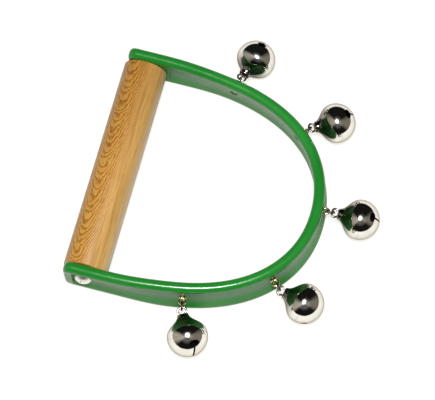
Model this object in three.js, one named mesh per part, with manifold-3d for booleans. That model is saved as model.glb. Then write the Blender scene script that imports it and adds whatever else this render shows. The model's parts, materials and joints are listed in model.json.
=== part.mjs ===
// Jingle bell ring: a round wooden grip screwed across the ends of a moulded plastic bow, with pear-shaped
// jingle bells hung from the bow on brass eyes and steel links. It lies flat, as on a table.
// Millimetres, +Z up, +X from the grip towards the crown of the bow, +Y along the grip.
// The origin is the middle of the footprint, on the surface that the ring lies on.
import * as THREE from 'three';
import { mergeVertices } from 'three/addons/utils/BufferGeometryUtils.js';
import Module from 'manifold-3d';

// Grip
const GRIP_DIAMETER = 22;
const GRIP_LENGTH = 109.6;
const GRIP_CHAMFER = 0.8;
const SEAT_CLEARANCE = 0.15; // between the grip's ends and the bow

// Bow: a strip with a round rim along both edges and a thinner web between them
const BOW_REACH = 102.7; // from the grip's axis to the middle of the wall at the crown
const BOW_WIDTH = 24;
const RIM_DIAMETER = 5.7;
const OUTER_HOLLOW = 1.7; // depth of the web's faces below the rims
const INNER_HOLLOW = 1.2;
const BOW_LEG = 1.3; // straight run from the grip's axis to the start of the curve
const BOW_TAIL = 9.4; // run of each end past the grip's axis
const BOW_END_ROUND = 4; // round of the ends' corners, seen from the side
const BOW_TIP_ROUND = 1.6; // round of the ends' edges, seen from above
const END_PAD = 4.2; // full thickness from each tip to the hollow in the outer face
const SEAT_MARGIN = 1; // full thickness past the grip's seat, before the hollow in the inner face
const HOLLOW_RAMP = 0.6; // run over which a hollow gains its depth
const BOW_LEAN = 5.6; // degrees that the wall leans in at the top, once clear of the grip
const LEAN_RUN = 34; // distance over which the lean grows from nothing
const SHOULDER_FULLNESS = 2.94; // exponents of the bow's superellipse, along and across its reach
const CROWN_FULLNESS = 2.07;

// Handle screws
const SCREW_HEAD_DIAMETER = 8.8;
const SCREW_HEAD_HEIGHT = 2.6;
const SCREW_SHANK_DIAMETER = 4;
const SCREW_LENGTH = 30;
const SCREW_POINT = 4;
const SCREW_CLEARANCE = 0.15; // round the shank, under the head and past the point
const RECESS_SPAN = 4.2; // cross recess in the head
const RECESS_WIDTH = 0.9;
const RECESS_DEPTH = 1.2;

// Brass eyes
const EYE_PLACES = [-83.5, -38.6, 4.5, 45.6, 86.3]; // along the wall from the crown, near end first
const EYE_WIRE = 1;
const EYE_BORE = 2;
const EYE_COLLAR_DIAMETER = 3.6;
const EYE_COLLAR = 0.5;
const EYE_SHANK_DIAMETER = 2;
const EYE_RIVET_DIAMETER = 3; // end that is peened over in the counterbore
const EYE_RIVET = 0.7;
const EYE_CLEARANCE = 0.15; // round the shank and under the collar and the peened end
const EYE_NECK = 0.4; // overlap of the loop and its collar
const COUNTERBORE_DIAMETER = 3.8;
const COUNTERBORE_DEPTH = 1.3;

// Links
const LINK_WIRE = 1;
const LINK_BORE = 2.8;
const LINK_BUTT_GAP = 0.25; // between the bent ring's ends
const LINK_CLEARANCE = 0.15; // from a link's wire to the wires that it holds

// Bells
const BELL_DIAMETER = 20;
const BELL_WALL = 0.6;
const BELL_SEAM = 0.25; // gap between the two shells
const CROWN_HEIGHT = 11; // from the seam to the top of the neck
const CROWN_SHOULDER = 6.6; // pulls of the crown's curve: up from the seam, and down from the neck
const CROWN_WAIST = 6.8;
const CROWN_WAIST_DIAMETER = 5.8;
const NECK_DIAMETER = 5.4;
const SHANK_WIRE = 1;
const SHANK_SPAN = 2.8; // between the middles of the shank's legs
const SHANK_BULGE = 4.4; // between the middles of the wire where the loop is widest
const SHANK_BULGE_RISE = 1.7;
const SHANK_RISE = 3.2; // from the crown to the middle of the wire at the top of the loop
const SHANK_DEPTH = 1.6; // of the legs' ends below the crown's outside
const SHANK_CLEARANCE = 0.12;
const SLIT_WIDTH = 0.9;
const SLIT_HOLE_LENGTH = 3.4; // holes at the slit's ends, along the slit and across it
const SLIT_HOLE_BREADTH = 5;
const SLIT_HOLE_ANGLE = 62; // degrees from the bell's pole
const PELLET_DIAMETER = 6;
const PELLET_GAP = 0.3;
const BELL_YAWS = [16, 31, -2.6, -21, -9.7]; // degrees that each bell lies turned aside, near end first

// Facets
const RIM_STEPS = 4; // on each side of a rim's crest
const BOW_STEP = 6.8; // longest run between two sections of the bow
const END_STEPS = 4;
const GRIP_SIDES = 32;
const SCREW_SIDES = 20;
const HEAD_STEPS = 3;
const HOLE_SIDES = 12;
const WIRE_SIDES = 6;
const EYE_STEPS = 14;
const LINK_STEPS = 16;
const SHANK_STEPS = 16;
const BELL_SIDES = 20;
const DOME_STEPS = 5;
const CROWN_STEPS = 6;
const PELLET_SIDES = 10;
const PELLET_RINGS = 6;

const END_SHARE = 0.04; // part of the bow's curve parameter that runs along each straight end
const LEG_SHARE = 0.15; // part of the shank's curve parameter that runs along each leg
const FLARE_SHARE = 0.3; // and, from the same end, up to the widest place
const LENGTH_DIVISIONS = 800; // steps in which the bow's length is measured
const MERGE_TOLERANCE = 1e-4;
const CUT_MARGIN = 1; // how far a cutter runs past the face that it opens

const wasm = await Module();
wasm.setup();

const radians = THREE.MathUtils.degToRad;

// Bow wall: where its middle line runs, how far it leans, and its section
const rimRadius = RIM_DIAMETER / 2;
const outerWeb = rimRadius - OUTER_HOLLOW;
const innerWeb = rimRadius - INNER_HOLLOW;
const wallOffset = GRIP_LENGTH / 2 + SEAT_CLEARANCE + rimRadius;

class BowLine extends THREE.Curve {
  constructor() {
    super();
    this.arcLengthDivisions = LENGTH_DIVISIONS;
  }

  getPoint(t, target = new THREE.Vector3()) {
    const side = t < 0.5 ? -1 : 1;
    const fromEnd = Math.min(t, 1 - t);
    if (fromEnd < END_SHARE) {
      const along = THREE.MathUtils.mapLinear(fromEnd, 0, END_SHARE, -BOW_TAIL, BOW_LEG);
      return target.set(along, side * wallOffset, 0);
    }
    const angle = THREE.MathUtils.mapLinear(fromEnd, END_SHARE, 0.5, Math.PI / 2, 0);
    const across = Math.sin(angle) ** (2 / CROWN_FULLNESS);
    const along = Math.max(Math.cos(angle), 0) ** (2 / SHOULDER_FULLNESS);
    return target.set(BOW_LEG + (BOW_REACH - BOW_LEG) * along, side * wallOffset * across, 0);
  }
}

const bowLine = new BowLine();
const bowLength = bowLine.getLength();

function leanAt(x) {
  const start = GRIP_DIAMETER / 2;
  return radians(BOW_LEAN) * THREE.MathUtils.smoothstep(x, start, start + LEAN_RUN);
}

// How far a quarter round of the given radius draws a face back, at a distance from the end.
function roundDraw(radius, distance) {
  const inside = Math.max(radius - distance, 0);
  return radius - Math.sqrt(radius * radius - inside * inside);
}

// Depth of a hollow that starts at one distance from the bow's end, at another.
function hollowDepth(depth, start, fromEnd) {
  return depth * THREE.MathUtils.clamp((fromEnd - start) / HOLLOW_RAMP, 0, 1);
}

const innerHollowStart = BOW_TAIL + GRIP_DIAMETER / 2 + SEAT_MARGIN;

// Closed outline of the wall as [outward, up] pairs: a rim above, a rim below and the web between them.
function wallSection(fromEnd) {
  const rim = rimRadius - roundDraw(BOW_TIP_ROUND, fromEnd);
  const rimHeight = BOW_WIDTH / 2 - roundDraw(BOW_END_ROUND, fromEnd) - rim;
  const outerTurn = Math.acos(1 - hollowDepth(OUTER_HOLLOW, END_PAD, fromEnd) / rim);
  const innerTurn = Math.acos(1 - hollowDepth(INNER_HOLLOW, innerHollowStart, fromEnd) / rim);
  const arc = (height, from, crest, to) =>
    Array.from({ length: 2 * RIM_STEPS + 1 }, (_, step) => {
      const share = step / RIM_STEPS;
      const angle = share < 1 ? from + (crest - from) * share : crest + (to - crest) * (share - 1);
      return [rim * Math.cos(angle), height + rim * Math.sin(angle)];
    });
  return [
    ...arc(rimHeight, -outerTurn, Math.PI / 2, Math.PI + innerTurn),
    ...arc(-rimHeight, Math.PI - innerTurn, Math.PI * 1.5, Math.PI * 2 + outerTurn),
  ];
}

// Distances along the bow of its sections: close together in the round ends, and at both edges of each ramp.
function sectionDistances() {
  const half = [];
  for (let step = 0; step < END_STEPS; step += 1) {
    half.push(BOW_END_ROUND * (1 - Math.cos((step / END_STEPS) * (Math.PI / 2))));
  }
  const stops = [
    BOW_END_ROUND,
    END_PAD,
    END_PAD + HOLLOW_RAMP,
    innerHollowStart,
    innerHollowStart + HOLLOW_RAMP,
    bowLength / 2,
  ];
  for (let stop = 0; stop + 1 < stops.length; stop += 1) {
    const runs = Math.ceil((stops[stop + 1] - stops[stop]) / BOW_STEP);
    for (let run = 0; run < runs; run += 1) {
      half.push(THREE.MathUtils.lerp(stops[stop], stops[stop + 1], run / runs));
    }
  }
  return [...half, bowLength / 2, ...half.map((distance) => bowLength - distance).reverse()];
}

// Place on the bow: the wall's middle, the direction out of it, and its lean.
function stationAt(distance) {
  const share = distance / bowLength;
  const point = bowLine.getPointAt(share);
  const tangent = bowLine.getTangentAt(share);
  return { point, heading: Math.atan2(-tangent.x, tangent.y), lean: leanAt(point.x) };
}

function loft(rings) {
  const sides = rings[0].length;
  const positions = rings.flat().flatMap((point) => point.toArray());
  const faces = [];
  for (let ring = 0; ring + 1 < rings.length; ring += 1) {
    for (let side = 0; side < sides; side += 1) {
      const a = ring * sides + side;
      const b = ring * sides + ((side + 1) % sides);
      faces.push(a, a + sides, b, b, a + sides, b + sides);
    }
  }
  const last = (rings.length - 1) * sides;
  for (let side = 1; side + 1 < sides; side += 1) {
    faces.push(0, side, side + 1);
    faces.push(last, last + side + 1, last + side);
  }
  const geometry = new THREE.BufferGeometry();
  geometry.setAttribute('position', new THREE.Float32BufferAttribute(positions, 3));
  geometry.setIndex(faces);
  return geometry;
}

// Joining and cutting
function solidOf(geometry) {
  const bare = geometry.clone();
  bare.deleteAttribute('normal');
  bare.deleteAttribute('uv');
  const merged = mergeVertices(bare, MERGE_TOLERANCE);
  return new wasm.Manifold(
    new wasm.Mesh({
      numProp: 3,
      vertProperties: new Float32Array(merged.attributes.position.array),
      triVerts: new Uint32Array(merged.index.array),
    }),
  );
}

function geometryOf(solid) {
  const mesh = solid.getMesh();
  const geometry = new THREE.BufferGeometry();
  geometry.setAttribute('position', new THREE.Float32BufferAttribute(mesh.vertProperties, 3));
  geometry.setIndex(new THREE.Uint32BufferAttribute(mesh.triVerts, 1));
  geometry.computeVertexNormals();
  return geometry;
}

function cut(geometry, cutters) {
  return geometryOf(cutters.reduce((solid, cutter) => solid.subtract(solidOf(cutter)), solidOf(geometry)));
}

function join(geometries) {
  return geometryOf(geometries.map(solidOf).reduce((solid, next) => solid.add(next)));
}

// Turned piece about the X axis. Each profile point is [place along X, diameter].
function turned(profile, sides) {
  const points = profile.map(([along, diameter]) => new THREE.Vector2(diameter / 2, along));
  return new THREE.LatheGeometry(points, sides).rotateZ(-Math.PI / 2);
}

function rod(start, end, diameter, sides) {
  return turned([[start, 0], [start, diameter], [end, diameter], [end, 0]], sides);
}

function wire(path, diameter, steps) {
  const outline = [];
  for (let side = 0; side < WIRE_SIDES; side += 1) {
    const angle = (side / WIRE_SIDES) * Math.PI * 2;
    outline.push(new THREE.Vector2(Math.cos(angle), Math.sin(angle)).multiplyScalar(diameter / 2));
  }
  const settings = { steps, extrudePath: path, bevelEnabled: false };
  return new THREE.ExtrudeGeometry(new THREE.Shape(outline), settings);
}

// Materials
const finish = (color, roughness, metalness) =>
  new THREE.MeshStandardMaterial({ color, roughness, metalness });
const greenPlastic = () => finish(0x1f8a2e, 0.25, 0);
const oiledWood = () => finish(0xc08a42, 0.55, 0);
const brightSteel = () => finish(0xc9c9c4, 0.25, 1);
const brass = () => finish(0xd3a94e, 0.25, 1);
const nickelPlate = () => finish(0xdedbd2, 0.08, 1);

function piece(name, geometry, material) {
  const mesh = new THREE.Mesh(geometry, material);
  mesh.name = name;
  return mesh;
}

// Handle screws lie along X from the top of their domed head, and are turned to the grip's ends.
const screwHeadRadius = SCREW_HEAD_DIAMETER / 2;
const screwDomeRadius = (screwHeadRadius ** 2 + SCREW_HEAD_HEIGHT ** 2) / (2 * SCREW_HEAD_HEIGHT);

function screwGeometry() {
  const domeAngle = Math.asin(screwHeadRadius / screwDomeRadius);
  const dome = [];
  for (let step = 0; step <= HEAD_STEPS; step += 1) {
    const angle = (domeAngle * step) / HEAD_STEPS;
    dome.push([screwDomeRadius * (1 - Math.cos(angle)), 2 * screwDomeRadius * Math.sin(angle)]);
  }
  const body = turned(
    [
      ...dome,
      [SCREW_HEAD_HEIGHT, SCREW_SHANK_DIAMETER],
      [SCREW_LENGTH - SCREW_POINT, SCREW_SHANK_DIAMETER],
      [SCREW_LENGTH, 0],
    ],
    SCREW_SIDES,
  );
  const slot = () => new THREE.BoxGeometry(2 * RECESS_DEPTH, RECESS_WIDTH, RECESS_SPAN);
  return cut(body, [slot(), slot().rotateX(Math.PI / 2)]);
}

// The way for a screw's shank, from under its head to past its point in the grip.
function screwCutter() {
  const way = SCREW_SHANK_DIAMETER + 2 * SCREW_CLEARANCE;
  return rod(SCREW_HEAD_HEIGHT - CUT_MARGIN, SCREW_LENGTH + SCREW_CLEARANCE, way, SCREW_SIDES);
}

const screwStart = wallOffset + outerWeb + SCREW_CLEARANCE + SCREW_HEAD_HEIGHT;

function atGripEnd(object, side) {
  object.position.set(0, side * screwStart, 0);
  object.rotation.z = (-side * Math.PI) / 2;
  object.updateMatrix();
  return object;
}

const screwWays = [-1, 1].map((side) =>
  screwCutter().applyMatrix4(atGripEnd(new THREE.Object3D(), side).matrix));

// Grip along Y
function gripGeometry() {
  const half = GRIP_LENGTH / 2;
  const blank = turned(
    [
      [-half, 0],
      [-half, GRIP_DIAMETER - 2 * GRIP_CHAMFER],
      [-half + GRIP_CHAMFER, GRIP_DIAMETER],
      [half - GRIP_CHAMFER, GRIP_DIAMETER],
      [half, GRIP_DIAMETER - 2 * GRIP_CHAMFER],
      [half, 0],
    ],
    GRIP_SIDES,
  ).rotateZ(Math.PI / 2);
  return cut(blank, screwWays);
}

// Eyes, numbered from the near end of the bow
const eyeStations = EYE_PLACES.map((place) => stationAt(bowLength / 2 + place));
const eyeMeanRadius = (EYE_BORE + EYE_WIRE) / 2;
const eyeCollarTop = outerWeb + EYE_CLEARANCE + EYE_COLLAR;
const eyeCentre = eyeCollarTop + eyeMeanRadius + EYE_WIRE / 2 - EYE_NECK;
const eyeOuterWire = eyeCentre + eyeMeanRadius;
const counterboreFloor = COUNTERBORE_DEPTH - innerWeb;

// Group at a place on the bow with X out of the leaning wall and Y along it.
function eyeGroup(station) {
  const group = new THREE.Group();
  group.position.copy(station.point);
  group.rotation.set(0, -station.lean, station.heading, 'ZYX');
  group.updateMatrix();
  return group;
}

function eyeGeometry() {
  const loop = new THREE.TorusGeometry(eyeMeanRadius, EYE_WIRE / 2, WIRE_SIDES, EYE_STEPS);
  loop.translate(eyeCentre, 0, 0);
  const rivetFace = counterboreFloor - EYE_CLEARANCE;
  const stem = turned(
    [
      [rivetFace - EYE_RIVET, 0],
      [rivetFace - EYE_RIVET, EYE_RIVET_DIAMETER],
      [rivetFace, EYE_RIVET_DIAMETER],
      [rivetFace, EYE_SHANK_DIAMETER],
      [outerWeb + EYE_CLEARANCE, EYE_SHANK_DIAMETER],
      [outerWeb + EYE_CLEARANCE, EYE_COLLAR_DIAMETER],
      [eyeCollarTop, EYE_COLLAR_DIAMETER],
      [eyeCollarTop, 0],
    ],
    HOLE_SIDES,
  );
  return join([stem, loop]);
}

function eyeCutter() {
  const inside = -innerWeb - CUT_MARGIN;
  const way = EYE_SHANK_DIAMETER + 2 * EYE_CLEARANCE;
  return turned(
    [
      [inside, 0],
      [inside, COUNTERBORE_DIAMETER],
      [counterboreFloor, COUNTERBORE_DIAMETER],
      [counterboreFloor, way],
      [outerWeb + CUT_MARGIN, way],
      [outerWeb + CUT_MARGIN, 0],
    ],
    HOLE_SIDES,
  );
}

function bowGeometry() {
  const rings = sectionDistances().map((distance) => {
    const { point, heading, lean } = stationAt(distance);
    return wallSection(Math.min(distance, bowLength - distance)).map(([outward, up]) => {
      const reach = outward * Math.cos(lean) - up * Math.sin(lean);
      const rise = up * Math.cos(lean) + outward * Math.sin(lean);
      return new THREE.Vector3(
        point.x + reach * Math.cos(heading),
        point.y + reach * Math.sin(heading),
        rise,
      );
    });
  });
  const eyeWays = eyeStations.map((station) => eyeCutter().applyMatrix4(eyeGroup(station).matrix));
  return cut(loft(rings), [...screwWays, ...eyeWays]);
}

// Link: a bent wire ring, upright, with its middle at the origin and its butt joint on top.
const linkMeanRadius = (LINK_BORE + LINK_WIRE) / 2;

class LinkLine extends THREE.Curve {
  getPoint(t, target = new THREE.Vector3()) {
    const spare = LINK_BUTT_GAP / linkMeanRadius;
    const angle = Math.PI / 2 + spare / 2 + t * (Math.PI * 2 - spare);
    return target.set(linkMeanRadius * Math.cos(angle), 0, linkMeanRadius * Math.sin(angle));
  }
}

// Bell about the X axis: its middle is on the seam, the neck points to -X and the slit's pole to +X.
const bellRadius = BELL_DIAMETER / 2;
const bellInnerRadius = bellRadius - BELL_WALL;

// Points on a dome from the rim to the pole, as [place along X, diameter].
function domeArc(radius) {
  const rim = Math.asin(BELL_SEAM / 2 / radius);
  return Array.from({ length: DOME_STEPS + 1 }, (_, step) => {
    const latitude = THREE.MathUtils.lerp(rim, Math.PI / 2, step / DOME_STEPS);
    return [radius * Math.sin(latitude), 2 * radius * Math.cos(latitude)];
  });
}

// Points on the crown from the rim up its shoulder and in to the neck, at a depth below the outside.
function crownArc(depth) {
  const line = new THREE.CubicBezierCurve(
    new THREE.Vector2(-BELL_SEAM / 2, bellRadius - depth),
    new THREE.Vector2(depth - CROWN_SHOULDER, bellRadius - depth),
    new THREE.Vector2(depth - CROWN_WAIST, CROWN_WAIST_DIAMETER / 2 - depth),
    new THREE.Vector2(depth - CROWN_HEIGHT, NECK_DIAMETER / 2 - depth),
  );
  return line.getPoints(CROWN_STEPS).map((point) => [point.x, 2 * point.y]);
}

function crownGeometry() {
  const innerTop = BELL_WALL - CROWN_HEIGHT;
  const shell = turned(
    [
      [-CROWN_HEIGHT, 0],
      ...crownArc(0).reverse(),
      ...crownArc(BELL_WALL),
      [innerTop, 0],
    ],
    BELL_SIDES,
  );
  const legWay = SHANK_WIRE + 2 * SHANK_CLEARANCE;
  const ways = [-1, 1].map((side) =>
    rod(-CROWN_HEIGHT - CUT_MARGIN, innerTop + CUT_MARGIN, legWay, WIRE_SIDES * 2)
      .translate(0, (side * SHANK_SPAN) / 2, 0));
  return cut(shell, ways);
}

function baseGeometry() {
  const shell = turned([...domeArc(bellInnerRadius).reverse(), ...domeArc(bellRadius)], BELL_SIDES);
  const holeAngle = radians(SLIT_HOLE_ANGLE);
  const slitStart = bellRadius * Math.cos(holeAngle);
  const slitEnd = bellRadius + CUT_MARGIN;
  const slit = new THREE.BoxGeometry(slitEnd - slitStart, SLIT_WIDTH, 2 * bellRadius * Math.sin(holeAngle))
    .translate((slitStart + slitEnd) / 2, 0, 0);
  const holes = [-1, 1].map((side) =>
    rod(bellInnerRadius - CUT_MARGIN, bellRadius + CUT_MARGIN, SLIT_HOLE_LENGTH, HOLE_SIDES)
      .scale(1, SLIT_HOLE_BREADTH / SLIT_HOLE_LENGTH, 1)
      .rotateY(side * holeAngle));
  return cut(shell, [slit, ...holes]);
}

// Shank: a wire through the neck, bent to a loop that swells above it, in the plane of X and Y.
class ShankLine extends THREE.Curve {
  getPoint(t, target = new THREE.Vector3()) {
    const side = t < 0.5 ? -1 : 1;
    const fromEnd = Math.min(t, 1 - t);
    if (fromEnd < LEG_SHARE) {
      const below = SHANK_DEPTH * (1 - fromEnd / LEG_SHARE);
      return target.set(below - CROWN_HEIGHT, (side * SHANK_SPAN) / 2, 0);
    }
    if (fromEnd < FLARE_SHARE) {
      const share = THREE.MathUtils.mapLinear(fromEnd, LEG_SHARE, FLARE_SHARE, 0, 1);
      const width = THREE.MathUtils.lerp(SHANK_SPAN, SHANK_BULGE, THREE.MathUtils.smoothstep(share, 0, 1));
      return target.set(-CROWN_HEIGHT - SHANK_BULGE_RISE * share, (side * width) / 2, 0);
    }
    const angle = THREE.MathUtils.mapLinear(fromEnd, FLARE_SHARE, 0.5, 0, Math.PI / 2);
    const rise = THREE.MathUtils.lerp(SHANK_BULGE_RISE, SHANK_RISE, Math.sin(angle));
    return target.set(-CROWN_HEIGHT - rise, ((side * SHANK_BULGE) / 2) * Math.cos(angle), 0);
  }
}

// Places along one hung chain, measured from the eye's outer wire
const linkCentre = linkMeanRadius - (EYE_WIRE + LINK_WIRE) / 2 - LINK_CLEARANCE;
const linkOuterWire = linkCentre + linkMeanRadius;
const shankTop = linkOuterWire - (LINK_WIRE + SHANK_WIRE) / 2 - LINK_CLEARANCE;
const bellFromLinkWire = shankTop - linkOuterWire + SHANK_RISE + CROWN_HEIGHT;
const midHeight = Math.max(GRIP_DIAMETER, BOW_WIDTH) / 2;

// The droop that lays a bell, turned aside by its yaw, on the surface under the ring.
function restDroop(pivotHeight, yaw) {
  const reach = linkOuterWire + bellFromLinkWire * Math.cos(yaw);
  return Math.asin((midHeight + pivotHeight - bellRadius) / reach);
}

const assembly = new THREE.Group();
assembly.position.z = midHeight;
assembly.add(piece('bow', bowGeometry(), greenPlastic()));
assembly.add(piece('grip', gripGeometry(), oiledWood()));
assembly.add(atGripEnd(piece('screw_near', screwGeometry(), brightSteel()), -1));
assembly.add(atGripEnd(piece('screw_far', screwGeometry(), brightSteel()), 1));

eyeStations.forEach((station, index) => {
  const number = index + 1;
  const eye = eyeGroup(station);
  eye.add(piece(`eye_${number}`, eyeGeometry(), brass()));
  assembly.add(eye);

  const yaw = radians(BELL_YAWS[index]);
  const link = new THREE.Group();
  link.name = `link_pivot_${number}`;
  link.position.set(eyeOuterWire, 0, 0).applyMatrix4(eye.matrix);
  link.rotation.set(0, restDroop(link.position.z, yaw), station.heading, 'ZYX');
  assembly.add(link);
  const ring = piece(`link_${number}`, wire(new LinkLine(), LINK_WIRE, LINK_STEPS), brightSteel());
  ring.position.x = linkCentre;
  link.add(ring);

  const hang = new THREE.Group();
  hang.name = `bell_pivot_${number}`;
  hang.position.x = linkOuterWire;
  hang.rotation.z = yaw;
  link.add(hang);
  const bell = new THREE.Group();
  bell.position.x = bellFromLinkWire;
  hang.add(bell);
  bell.add(piece(`bell_${number}_crown`, crownGeometry(), nickelPlate()));
  bell.add(piece(`bell_${number}_base`, baseGeometry(), nickelPlate()));
  bell.add(piece(`bell_${number}_shank`, wire(new ShankLine(), SHANK_WIRE, SHANK_STEPS), brightSteel()));
  const pellet = piece(
    `bell_${number}_pellet`,
    new THREE.SphereGeometry(PELLET_DIAMETER / 2, PELLET_SIDES, PELLET_RINGS),
    brightSteel(),
  );
  pellet.position.z = -(bellInnerRadius - PELLET_DIAMETER / 2 - PELLET_GAP);
  bell.add(pellet);
});

// The footprint's middle goes to the origin.
const ringOfBells = new THREE.Group();
ringOfBells.add(assembly);
ringOfBells.updateMatrixWorld(true);
const box = new THREE.Box3().setFromObject(ringOfBells, true);
const middle = box.getCenter(new THREE.Vector3());
assembly.position.x -= middle.x;
assembly.position.y -= middle.y;
assembly.position.z -= box.min.z;

export default ringOfBells;
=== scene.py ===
# Jingle bell ring: smooth meshes, finishes, soft studio light and a camera at the photograph's angle.
# Named sizes are in millimetres and named angles in degrees. A mesh becomes metres when it is made.
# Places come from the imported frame.
import json
import math

import bmesh
import bpy
import numpy as np
from mathutils import Matrix, Vector, noise


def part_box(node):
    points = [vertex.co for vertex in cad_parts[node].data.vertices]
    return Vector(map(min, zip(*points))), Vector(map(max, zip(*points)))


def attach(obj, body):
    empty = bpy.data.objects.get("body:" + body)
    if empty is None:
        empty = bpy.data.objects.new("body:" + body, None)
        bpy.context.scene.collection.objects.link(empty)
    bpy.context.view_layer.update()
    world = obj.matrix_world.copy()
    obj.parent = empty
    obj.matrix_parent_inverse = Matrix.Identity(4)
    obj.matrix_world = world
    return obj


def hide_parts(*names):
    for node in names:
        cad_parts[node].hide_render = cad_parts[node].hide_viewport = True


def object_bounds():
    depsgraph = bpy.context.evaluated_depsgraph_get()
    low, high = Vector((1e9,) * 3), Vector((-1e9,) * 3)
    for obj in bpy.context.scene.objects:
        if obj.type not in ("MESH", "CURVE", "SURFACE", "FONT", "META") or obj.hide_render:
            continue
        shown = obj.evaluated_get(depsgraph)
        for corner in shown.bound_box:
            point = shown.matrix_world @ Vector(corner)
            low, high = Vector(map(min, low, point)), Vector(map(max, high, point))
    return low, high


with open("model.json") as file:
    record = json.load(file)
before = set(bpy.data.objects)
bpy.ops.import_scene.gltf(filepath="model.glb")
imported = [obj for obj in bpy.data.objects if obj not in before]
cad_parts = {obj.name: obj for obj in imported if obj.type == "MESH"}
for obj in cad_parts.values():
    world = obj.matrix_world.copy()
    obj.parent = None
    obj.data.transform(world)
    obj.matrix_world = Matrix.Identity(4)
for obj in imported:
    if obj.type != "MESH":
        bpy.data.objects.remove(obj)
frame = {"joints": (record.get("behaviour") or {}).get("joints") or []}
cad_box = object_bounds()

MM = 0.001

# Grip and bow
GRIP_DIAMETER = 22
GRIP_LENGTH = 109.6
GRIP_END_ROUND = 0.8
SEAT_CLEARANCE = 0.15
BOW_REACH = 102.7
BOW_WIDTH = 24
RIM_DIAMETER = 5.7
OUTER_HOLLOW = 1.7
INNER_HOLLOW = 1.2
HOLLOW_RAMP = 0.6
BOW_LEG = 1.3
BOW_TAIL = 9.4
BOW_END_ROUND = 4
BOW_TIP_ROUND = 1.6
END_PAD = 4.2
SEAT_MARGIN = 1
BOW_LEAN = 5.6
LEAN_RUN = 34
SHOULDER_FULLNESS = 2.94
CROWN_FULLNESS = 2.07

# The web rises to the rims in a hollow round. Its radius grows over a stretch of each leg,
# and is smaller where the web is hardly hollow.
END_FILLET = 8
WEB_FILLET = 17
FILLET_GROWTH = (15, 35)
FULL_FILLET_DEPTH = 1

# Screws
SCREW_HEAD_DIAMETER = 8.8
SCREW_HEAD_HEIGHT = 2.6
SCREW_SHANK_DIAMETER = 4
SCREW_LENGTH = 30
SCREW_POINT = 4
SCREW_CLEARANCE = 0.15
RECESS_SPAN = 4.2
RECESS_WIDTH = 0.9
RECESS_DEPTH = 1.2

# Eyes and links. An eye's place is its distance along the bow from the bow's middle.
EYE_PLACES = (-83.5, -38.6, 4.5, 45.6, 86.3)
EYE_WIRE = 1
EYE_BORE = 2
EYE_COLLAR = 0.5
EYE_COLLAR_DIAMETER = 3.6
EYE_COLLAR_EDGE = EYE_COLLAR / 3
EYE_COLLAR_FACE = 3.06
EYE_SHANK_DIAMETER = 2
EYE_RIVET = 0.7
EYE_RIVET_DIAMETER = 3
EYE_RIVET_EDGE = 0.28
EYE_RIVET_FACE = 2.1
EYE_CLEARANCE = 0.15
EYE_NECK = 0.4
COUNTERBORE_DIAMETER = 3.8
COUNTERBORE_DEPTH = 1.3
HOLE_BREAK = 0.2
LINK_WIRE = 1
LINK_BORE = 2.8
LINK_BUTT_GAP = 0.25
LINK_CLEARANCE = 0.15

# Bells
BELL_DIAMETER = 20
BELL_WALL = 0.6
BELL_SEAM = 0.08
CROWN_HEIGHT = 11
CROWN_SHOULDER = 6.6
CROWN_WAIST = 6.8
CROWN_WAIST_DIAMETER = 5.8
NECK_DIAMETER = 5.4
NECK_ROUND = 0.3
NECK_EDGE = 0.1
SHANK_WIRE = 1
SHANK_SPAN = 2.8
SHANK_BULGE = 4.4
SHANK_BULGE_RISE = 1.7
SHANK_RISE = 3.2
SHANK_DEPTH = 1.6
SHANK_CLEARANCE = 0.12
SLIT_WIDTH = 0.9
SLIT_HOLE_LENGTH = 3.4
SLIT_HOLE_BREADTH = 5
SLIT_HOLE_ANGLE = 62
SLIT_ROLLS = (-18, 90, 0, 0, 0)
PELLET_DIAMETER = 6
PELLET_DENT = 0.036
DENTS_PER_MM = 0.9

# Camera: the point that it looks at, from the grip's middle, its distance and its angles
CAMERA_TARGET = (52.88, -3.30, 0)
CAMERA_DISTANCE = 900
CAMERA_AZIMUTH = -14.96
CAMERA_ELEVATION = 71.35
CAMERA_LENS = 151.1
SENSOR_WIDTH = 36
CLIP_START = 50

# Mesh fineness and cutting margins
BOW_LINE_POINTS = 6000
TAIL_POINTS = 20
HEADING_STEP = 0.4
BOW_SECTIONS = 300
RAMP_STEPS = 6
RIM_STEPS = 12
FILLET_STEPS = 14
EDGE_LOOP = 0.25
END_STEPS = 8
GRIP_ROUND_STEPS = 6
ROUND_SIDES = 96
HOLE_SIDES = 40
WIRE_SIDES = 16
LOOP_STEPS = 64
SCREW_DOME_POINTS = 16
DOME_POINTS = 40
LEG_POINTS = 8
FLARE_POINTS = 12
BEND_POINTS = 16
PELLET_SUBDIVISIONS = 4
CUT_MARGIN = 1
AXIS_RADIUS = 1e-4
WELD_DISTANCE = 1e-4
SHARP_ANGLE = 32


# Mesh making

def scene_object(name, data):
    obj = bpy.data.objects.new(name, data)
    bpy.context.scene.collection.objects.link(obj)
    return obj


def mesh_object(name, vertices, faces):
    mesh = bpy.data.meshes.new(name)
    mesh.from_pydata([tuple(c * MM for c in vertex) for vertex in vertices], [], faces)
    mesh.validate()
    return scene_object(name, mesh)


def shade(obj):
    """Welds a mesh, turns its faces out and shades it smooth between its sharp edges."""
    shape = bmesh.new()
    shape.from_mesh(obj.data)
    bmesh.ops.remove_doubles(shape, verts=shape.verts, dist=WELD_DISTANCE * MM)
    bmesh.ops.recalc_face_normals(shape, faces=shape.faces)
    shape.to_mesh(obj.data)
    shape.free()
    obj.data.shade_smooth()
    obj.data.set_sharp_from_angle(angle=math.radians(SHARP_ANGLE))
    return obj


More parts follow.
